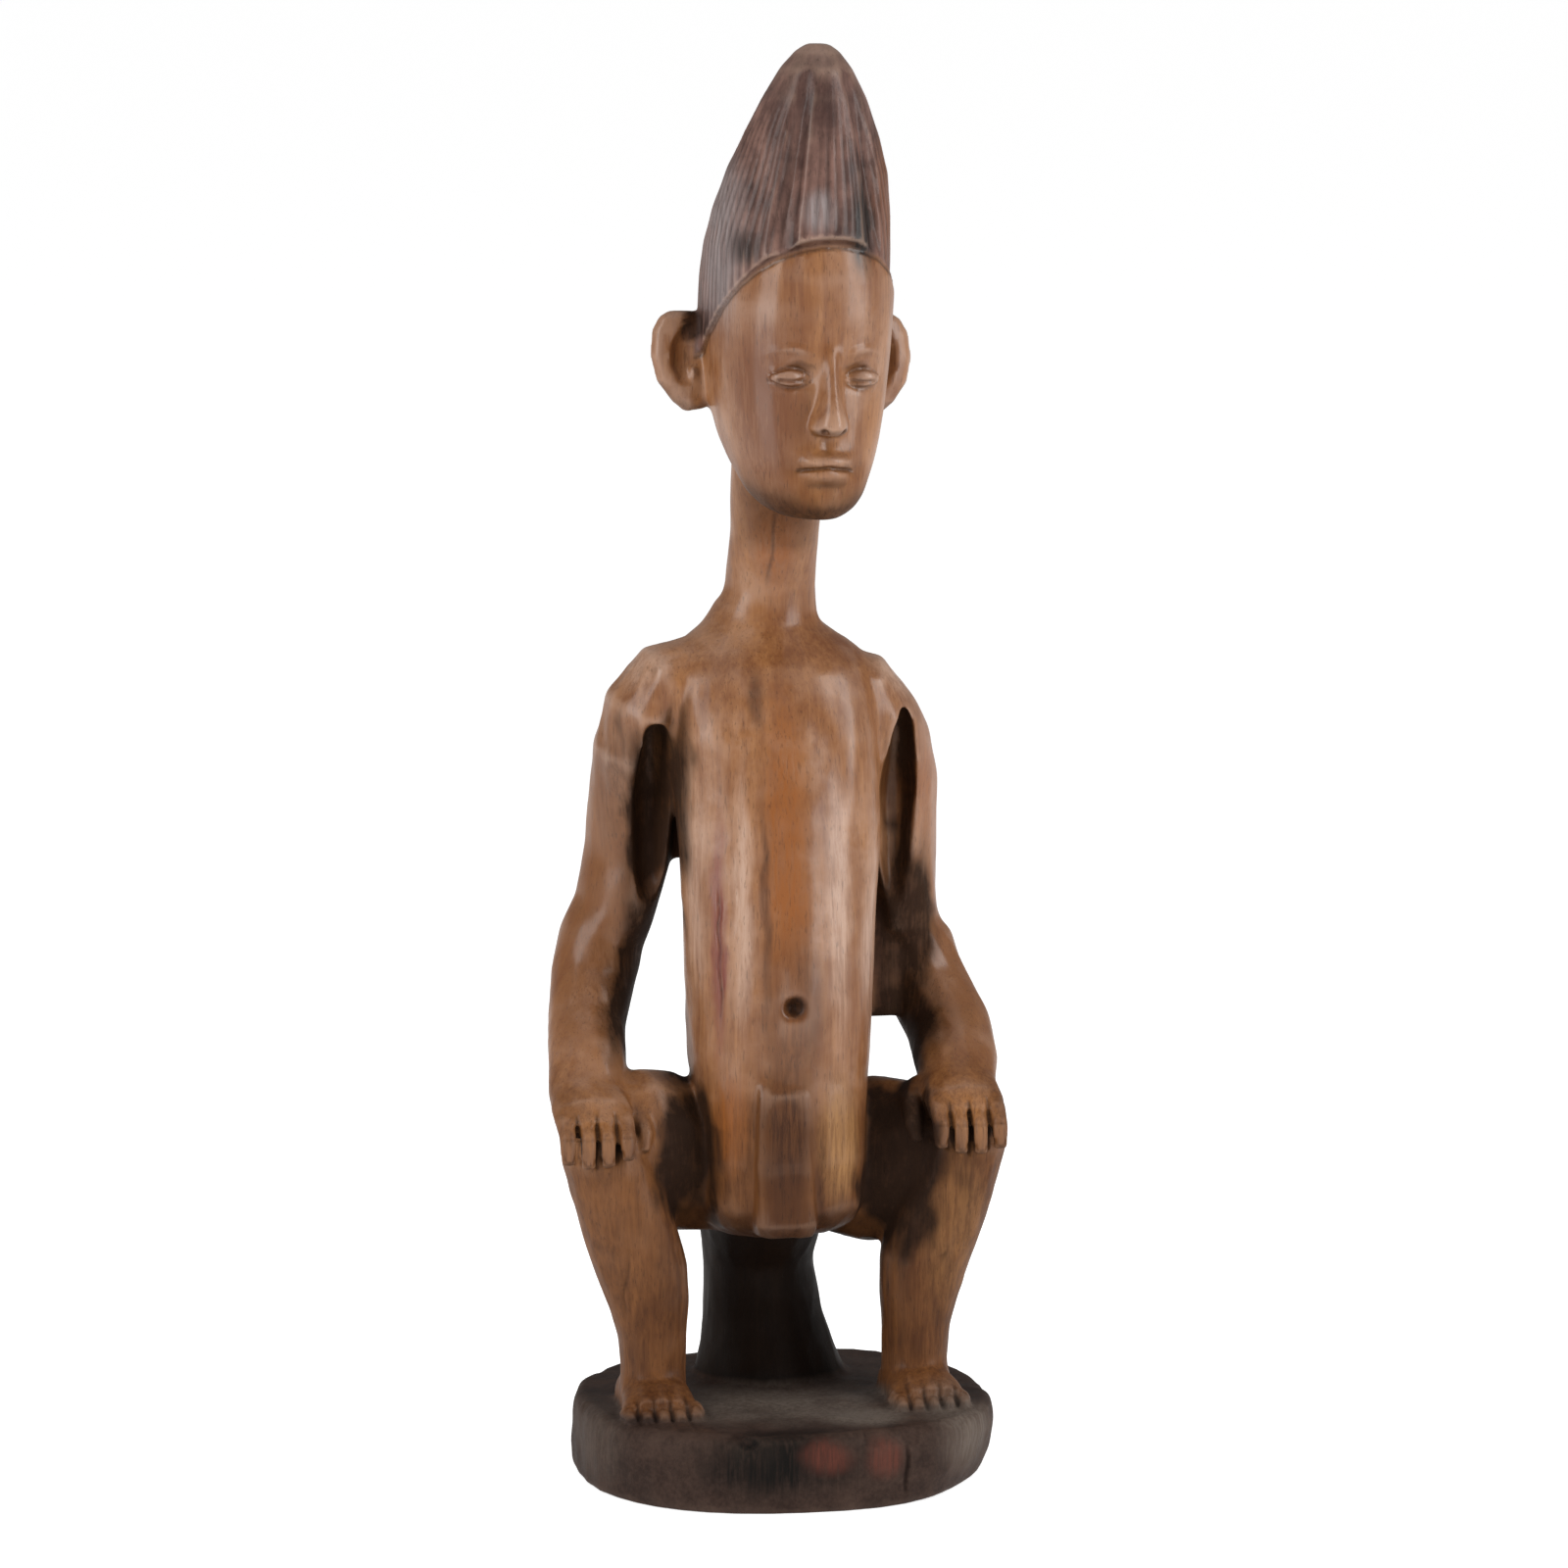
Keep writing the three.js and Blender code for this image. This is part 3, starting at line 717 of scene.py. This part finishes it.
wood = {
    "honeyDark": paint(96, 54, 25),
    "honeyLight": paint(136, 91, 53),
    "orange": paint(122, 70, 28),
    "tan": paint(134, 96, 58),
    # pale grey pink: pale patches in the wood, rubbed edges, and painted highlights on the polish
    "ashAndSheen": paint(168, 140, 122),
    "red": paint(102, 44, 28),
    "umber": paint(68, 37, 10),
    "legDark": paint(52, 27, 11),
    "legLight": paint(100, 61, 30),
    "hairDark": paint(50, 31, 27),
    "hairLight": paint(116, 86, 76),
    # grey: painted highlights and reflection on the hair
    "hairPaintedSheen": paint(124, 112, 110),
    "baseDark": paint(34, 22, 17),
    "baseLight": paint(58, 43, 36),
    "baseRed": paint(86, 46, 36),
    # grey: pale patches on the base, and painted light on its top
    "baseAshAndSheen": paint(90, 80, 72),
    # near black: the post and round it, partly painted shade, and the base's front
    "sootAndShade": paint(9, 6, 4),
    # near black brown: painted shade in hollows, under things and in the hair's groove; also the dark of cut
    # lines and pores
    "shadeAndDirt": paint(20, 9, 4),
}

# Places where the colour differs, some of them painted light and shade: middle and reach in mm, the colour
# laid there, and how much of it
colourPatches = (
    {"at": (-4, -24, 160), "reach": (8, 16, 85), "colour": "orange", "amount": 0.8},  # down the middle
    {"at": (-4, -14, 234), "reach": (10, 14, 22), "colour": "orange", "amount": 1.0},  # throat
    {"at": (-2, -26, 122), "reach": (11, 12, 26), "colour": "legDark", "amount": 0.5},  # around the navel
    # painted shadow that the head casts on the upper chest
    {"at": (-10, -16, 198), "reach": (3, 8, 10), "colour": "legDark", "amount": 0.5},
    {"at": (-20, -19, 140), "reach": (2.6, 9, 42), "colour": "red", "amount": 0.9},
    # painted highlight over pale polished wood: a strip where the left lamp shines on the body
    {"at": (-14.5, -21, 150), "reach": (3.4, 9, 46), "colour": "ashAndSheen", "amount": 0.6},
    {"at": (-9, -24, 148), "reach": (1.6, 9, 55), "colour": "legDark", "amount": 0.5},
    # painted light on the body's right flank, toward the left lamp, over pale wood
    {"at": (-26, -14, 150), "reach": (5, 12, 50), "colour": "ashAndSheen", "amount": 0.4},
    # painted highlight over pale polished wood: a strip where the right lamp shines on the body
    {"at": (10, -22, 148), "reach": (4.6, 9, 48), "colour": "ashAndSheen", "amount": 0.45},
    # painted light on the body's left flank, toward the right lamp, over pale wood
    {"at": (21, -15, 134), "reach": (7, 14, 34), "colour": "ashAndSheen", "amount": 0.45},
    {"at": (-3, -26, 108), "reach": (14, 14, 13), "colour": "umber", "amount": 0.25},
    {"at": (34, -2, 204), "reach": (15, 16, 12), "colour": "ashAndSheen", "amount": 0.5},  # left shoulder: painted highlight where light from above falls
    # right shoulder: painted highlight where light from above falls
    {"at": (-38, -2, 206), "reach": (12, 16, 9), "colour": "ashAndSheen", "amount": 0.3},
    {"at": (-48, 0, 150), "reach": (16, 30, 70), "colour": "legLight", "amount": 0.85},  # arms
    {"at": (-45, -6, 170), "reach": (10, 20, 32), "colour": "legDark", "amount": 0.6},
    {"at": (42, -4, 172), "reach": (10, 24, 36), "colour": "orange", "amount": 0.75},
    {"at": (47, 0, 122), "reach": (16, 30, 45), "colour": "legLight", "amount": 0.6},
    {"at": (-18, -22, 93), "reach": (6, 10, 18), "colour": "orange", "amount": 0.7},  # the cloth's sides
    {"at": (-5, -27, 88), "reach": (10, 9, 30), "colour": "legDark", "amount": 0.8},
    {"at": (10, -24, 88), "reach": (8, 11, 21), "colour": "tan", "amount": 0.8},
    {"at": (-2, -20, 64), "reach": (30, 20, 12), "colour": "legDark", "amount": 0.7},
    {"at": (40, -22, 62), "reach": (12, 14, 30), "colour": "tan", "amount": 0.25},
    {"at": (-52, -18, 92), "reach": (12, 16, 13), "colour": "honeyLight", "amount": 0.5},  # hands
    {"at": (43, -18, 92), "reach": (12, 16, 13), "colour": "honeyLight", "amount": 0.7},
    {"at": (-2, -34, 243), "reach": (24, 28, 15), "colour": "umber", "amount": 0.75},  # under the jaw: painted shade
    {"at": (-14, -42, 274), "reach": (14, 20, 38), "colour": "honeyDark", "amount": 0.95},
    {"at": (17, -34, 266), "reach": (9, 16, 16), "colour": "honeyLight", "amount": 0.8},  # left cheek: painted light where the right lamp falls on it
    {"at": (-1, -42, 352), "reach": (16, 22, 20), "colour": "hairDark", "amount": 0.5},  # top of the crest
    # painted reflection: a grey sheen on the front of the crest
    {"at": (-1, -48, 320), "reach": (6, 12, 8), "colour": "hairPaintedSheen", "amount": 0.8},
    # painted shadow in the groove on the crest's left side
    {"at": (10.5, -44, 318), "reach": (5, 10, 18), "colour": "shadeAndDirt", "amount": 1.0},
    # painted highlight on the hair's right lobe, toward the left lamp
    {"at": (-22, -28, 314), "reach": (9, 20, 34), "colour": "hairPaintedSheen", "amount": 0.7},
    # painted light: the hair's left lobe, orange brown toward the right lamp
    {"at": (19, -34, 323), "reach": (8, 17, 26), "colour": "honeyDark", "amount": 0.75},
    {"at": (-17.5, -38, 311), "reach": (6, 10, 6), "colour": "shadeAndDirt", "amount": 0.6},
    {"at": (-12, -51, 13), "reach": (32, 13, 12), "colour": "sootAndShade", "amount": 0.85},  # base
    # the base's top made paler: partly greyish wood, partly painted light from above
    {"at": (-4, -14, 21), "reach": (44, 34, 4), "colour": "baseAshAndSheen", "amount": 0.9},
    {"at": (0, -52, 14), "reach": (9, 12, 6), "colour": "baseRed", "amount": 0.6},
    {"at": (15, -50, 13), "reach": (7, 12, 7), "colour": "baseRed", "amount": 0.6},
    # painted highlight on the base's top
    {"at": (14, -34, 19), "reach": (15, 14, 8), "colour": "baseAshAndSheen", "amount": 1.0},
    {"at": (38, -32, 16), "reach": (17, 20, 14), "colour": "baseAshAndSheen", "amount": 0.7},
    {"at": (-50, -12, 14), "reach": (12, 26, 16), "colour": "baseAshAndSheen", "amount": 0.25},
)

sootAndShade = {"at": (0, 20, 42), "reach": (30, 40, 80), "amount": 0.92}  # on the post and what is near it: near black, partly a dark stain and partly painted shade under the seat
jaw = {"at": (-2, -34, 246), "reach": (28, 32, 22)}  # dull below the face, where the polish never took
finish = {
    "shine": 0.1,
    "coatRoughness": 0.26,
    "coatIor": 1.55,
    "bumpStrength": 0.5,
    "bumpDepth": 0.22,  # mm
}
borders = {  # heights in mm over which one wood gives way to another
    "legs": (112, 90),
    "base": (22.5, 19.6),
    "sootAndShadeTop": (68, 58),
    "sootAndShadeFoot": (20, 22.5),
}


class Grain:
    # the wood's patterns and the figure's parts as wires, each from 0 to 1 over the surface
    def __init__(self, tree):
        self.start = Wire(tree)
        self.place = self.start.node("ShaderNodeTexCoord", output="Object").scaled([1 / mm] * 3)
        self.wobbly = self.place.wobbled(3.5)
        alongGrain = self.place.scaled((1, 1, 0.07))
        self.fibres = alongGrain.noise(0.95, 5.0, 0.65, 0.4)
        self.streaks = alongGrain.noise(0.17, 3.0, 0.6, 0.6)
        self.pores = self.place.scaled((1, 1, 0.13)).noise(2.3, 2.0, 0.5).soft(0.60, 0.70)
        self.clouds = self.place.noise(0.035, 4.0, 0.6)
        self.blotches = self.place.noise(0.12, 4.0, 0.65)
        height = self.place.axis("Z")
        self.onHair = self.measured("onHair")
        self.onLegs = (height + 14 * (self.clouds - 0.5)).fall(*borders["legs"])
        self.onBase = (height + 3 * (self.blotches - 0.5)).fall(*borders["base"])
        # near black on the post and round it, from the base's top to the seat: partly a dark stain, partly
        # painted shade under the seat
        sootedAndShaded = (3 * self.wobbly.spot(sootAndShade["at"], sootAndShade["reach"])).held()
        sootedAndShaded = sootedAndShaded * (height + 8 * (self.blotches - 0.5)).fall(*borders["sootAndShadeTop"])
        self.sootedAndShaded = sootedAndShaded * (height + 2 * self.blotches).soft(*borders["sootAndShadeFoot"])
        self.dull = self.wobbly.spot(jaw["at"], jaw["reach"])
        # painted shade with some dirt: darker where little of the room round a point is open, and where the
        # painted shade and grime mask says
        shadeAndDirt = (self.measured("open").fall(0.68, 0.2) + self.measured("paintedShadeAndGrime")).held()
        grainy = 0.35 + 0.6 * self.blotches + 0.7 * self.fibres
        self.shadeAndDirt = (shadeAndDirt * grainy * (1 - 0.5 * self.onBase)).held()

    def measured(self, name):
        # a number kept on each point of the mesh
        return self.start.node("ShaderNodeAttribute", {"attribute_name": name}, output="Fac")


def cleanColour(grain):
    # the wood of body, legs, hair and base before colour patches, painted light and shade, wear and dirt
    tone = (0.5 * grain.fibres + 0.5 * grain.streaks + 0.5 * grain.clouds - 0.25).held()
    colour = tone.soft(0.25, 0.78).over(wood["honeyDark"], wood["honeyLight"])
    # random pale patches in the wood's own tone
    ashAndSheen = grain.clouds.soft(0.42, 0.68) * grain.blotches.soft(0.3, 0.6)
    colour = (0.22 * ashAndSheen).over(colour, wood["ashAndSheen"])
    legs = tone.soft(0.25, 0.75).over(wood["legDark"], wood["legLight"])
    colour = (0.85 * grain.onLegs).over(colour, legs)
    hairTone = (0.6 * grain.streaks + 0.6 * grain.blotches - 0.1).held().soft(0.25, 0.75)
    colour = grain.onHair.over(colour, hairTone.over(wood["hairDark"], wood["hairLight"]))
    speckle = grain.place.noise(0.8, 4.0, 0.7)
    baseTone = (0.35 * grain.blotches + 0.35 * grain.clouds + 0.3 * speckle).soft(0.37, 0.63)
    return grain.onBase.over(colour, baseTone.over(wood["baseDark"], wood["baseLight"]))


def withColourPatches(grain, colour):
    mottle = 0.3 * grain.blotches + 0.7 * grain.fibres.soft(0.36, 0.64) + 0.5
    for patch in colourPatches:
        amount = (patch["amount"] * grain.wobbly.spot(patch["at"], patch["reach"]) * mottle).held()
        colour = amount.over(colour, wood[patch["colour"]])
    # the post and round it laid near black: partly painted shade
    return (sootAndShade["amount"] * grain.sootedAndShaded).over(colour, wood["sootAndShade"])


def wornDirtyAndPaintedLight(grain, colour):
    # pale where hands rubbed the edges, partly a painted highlight there; painted shade in hollows; dark cut
    # lines and pores
    rubbedAndHighlit = grain.measured("worn").soft(0.62, 0.95) * (1 - grain.sootedAndShaded) * (1 - 0.75 * grain.onBase)
    rubbedAndHighlit = rubbedAndHighlit * (1 - 0.7 * grain.onLegs) * (1 - grain.dull)
    # pale edges that stand out: wear, and partly a painted highlight on them
    colour = (0.35 * rubbedAndHighlit).over(colour, wood["ashAndSheen"])
    # painted shade in hollows and under things, with some dirt
    colour = (0.92 * grain.shadeAndDirt).over(colour, wood["shadeAndDirt"])
    colour = (0.6 * grain.measured("cutLines")).over(colour, wood["shadeAndDirt"])
    return (0.3 * grain.pores * (1 - grain.onBase)).over(colour, wood["shadeAndDirt"])


def polishOn(grain):
    # how much of the thin coat is left
    left = (1 - grain.shadeAndDirt) * (1 - grain.sootedAndShaded) * (1 - grain.onBase)
    left = left * (1 - 0.5 * grain.onHair) * (1 - 0.85 * grain.onLegs)
    return (left * (0.25 + 0.45 * grain.clouds) * (1 - 0.9 * grain.dull)).held()


def woodMaterial():
    material = bpy.data.materials.new("agedWood")
    material.use_nodes = True
    tree = material.node_tree
    shader = tree.nodes["Principled BSDF"]
    grain = Grain(tree)
    colour = wornDirtyAndPaintedLight(grain, withColourPatches(grain, cleanColour(grain)))
    roughness = (0.5 + 0.2 * grain.blotches + 0.15 * grain.shadeAndDirt + 0.1 * grain.onBase).held()
    relief = 0.5 * grain.fibres + 0.25 * grain.blotches - 0.35 * grain.pores
    bumpInputs = {"Strength": finish["bumpStrength"], "Distance": finish["bumpDepth"] * mm, "Height": relief}
    bumped = relief.node("ShaderNodeBump", {}, bumpInputs)
    tree.links.new(colour.socket, shader.inputs["Base Color"])
    tree.links.new(roughness.socket, shader.inputs["Roughness"])
    tree.links.new(polishOn(grain).socket, shader.inputs["Coat Weight"])
    tree.links.new(bumped.socket, shader.inputs["Normal"])
    shader.inputs["Specular IOR Level"].default_value = finish["shine"]
    shader.inputs["Coat Roughness"].default_value = finish["coatRoughness"]
    shader.inputs["Coat IOR"].default_value = finish["coatIor"]
    return material


def onSphere(azimuth, elevation, distance, middle):
    turn = math.radians(azimuth)
    rise = math.radians(elevation)
    away = Vector((math.sin(turn) * math.cos(rise), -math.cos(turn) * math.cos(rise), math.sin(rise)))
    return Vector(middle) + away * distance


def placed(name, data, place, aim):
    made = bpy.data.objects.new(name, data)
    made.location = place
    made.rotation_euler = (Vector(aim) - place).to_track_quat("-Z", "Y").to_euler()
    bpy.context.collection.objects.link(made)
    return made


camera = {
    "azimuth": -12,  # degrees, towards the figure's right
    "elevation": 8,
    "distance": 1.8,  # m, as all sizes of the room are
    "aim": (0.0004, 0, 0.1744),
    "lens": 165.2,
    "sensor": 36,
    "farthest": 100,
}


def makeCamera():
    data = bpy.data.cameras.new("camera")
    data.lens = camera["lens"]
    data.sensor_width = camera["sensor"]
    data.clip_end = camera["farthest"]
    spot = onSphere(camera["azimuth"], camera["elevation"], camera["distance"], camera["aim"])
    bpy.context.scene.camera = placed("camera", data, spot, camera["aim"])


lights = (
    {"name": "leftBox", "azimuth": -64, "elevation": 18, "distance": 1.2, "size": (0.6, 1.0), "power": 10},
    {"name": "rightBox", "azimuth": 52, "elevation": 18, "distance": 1.2, "size": (0.5, 1.0), "power": 11},
    {"name": "topBox", "azimuth": 10, "elevation": 78, "distance": 1.3, "size": (1.2, 1.2), "power": 3.5},
)
room = {
    "glow": 0.4,
    "lightsAim": (0, 0, 0.18),
    "floorShade": 0.8,
    "floorGlow": 0.67,
    "floorRoughness": 0.9,
    "floorSize": 40,
}


def makeLights():
    for box in lights:
        data = bpy.data.lights.new(box["name"], "AREA")
        data.shape = "RECTANGLE"
        data.size, data.size_y = box["size"]
        data.energy = box["power"]
        spot = onSphere(box["azimuth"], box["elevation"], box["distance"], room["lightsAim"])
        placed(box["name"], data, spot, room["lightsAim"])
    world = bpy.data.worlds.new("room")
    bpy.context.scene.world = world
    world.use_nodes = True
    background = world.node_tree.nodes["Background"]
    background.inputs["Color"].default_value = (1, 1, 1, 1)
    background.inputs["Strength"].default_value = room["glow"]


def makeFloor():
    mesh = bpy.data.meshes.new("floor")
    work = bmesh.new()
    bmesh.ops.create_grid(work, x_segments=1, y_segments=1, size=room["floorSize"])
    work.to_mesh(mesh)
    work.free()
    floor = bpy.data.objects.new("floor", mesh)
    bpy.context.collection.objects.link(floor)
    material = bpy.data.materials.new("paleFloor")
    material.use_nodes = True
    shader = material.node_tree.nodes["Principled BSDF"]
    shade = room["floorShade"]
    shader.inputs["Base Color"].default_value = (shade, shade, shade, 1)
    shader.inputs["Roughness"].default_value = room["floorRoughness"]
    shader.inputs["Emission Color"].default_value = (1, 1, 1, 1)
    shader.inputs["Emission Strength"].default_value = room["floorGlow"]
    mesh.materials.append(material)


makeCamera()
makeLights()
makeFloor()
print("room ready")

figure = carvedFigure()
figure.data.materials.append(woodMaterial())
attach(figure, "root")
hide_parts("figure")
bpy.context.scene.view_settings.view_transform = "Standard"
print("figure ready")
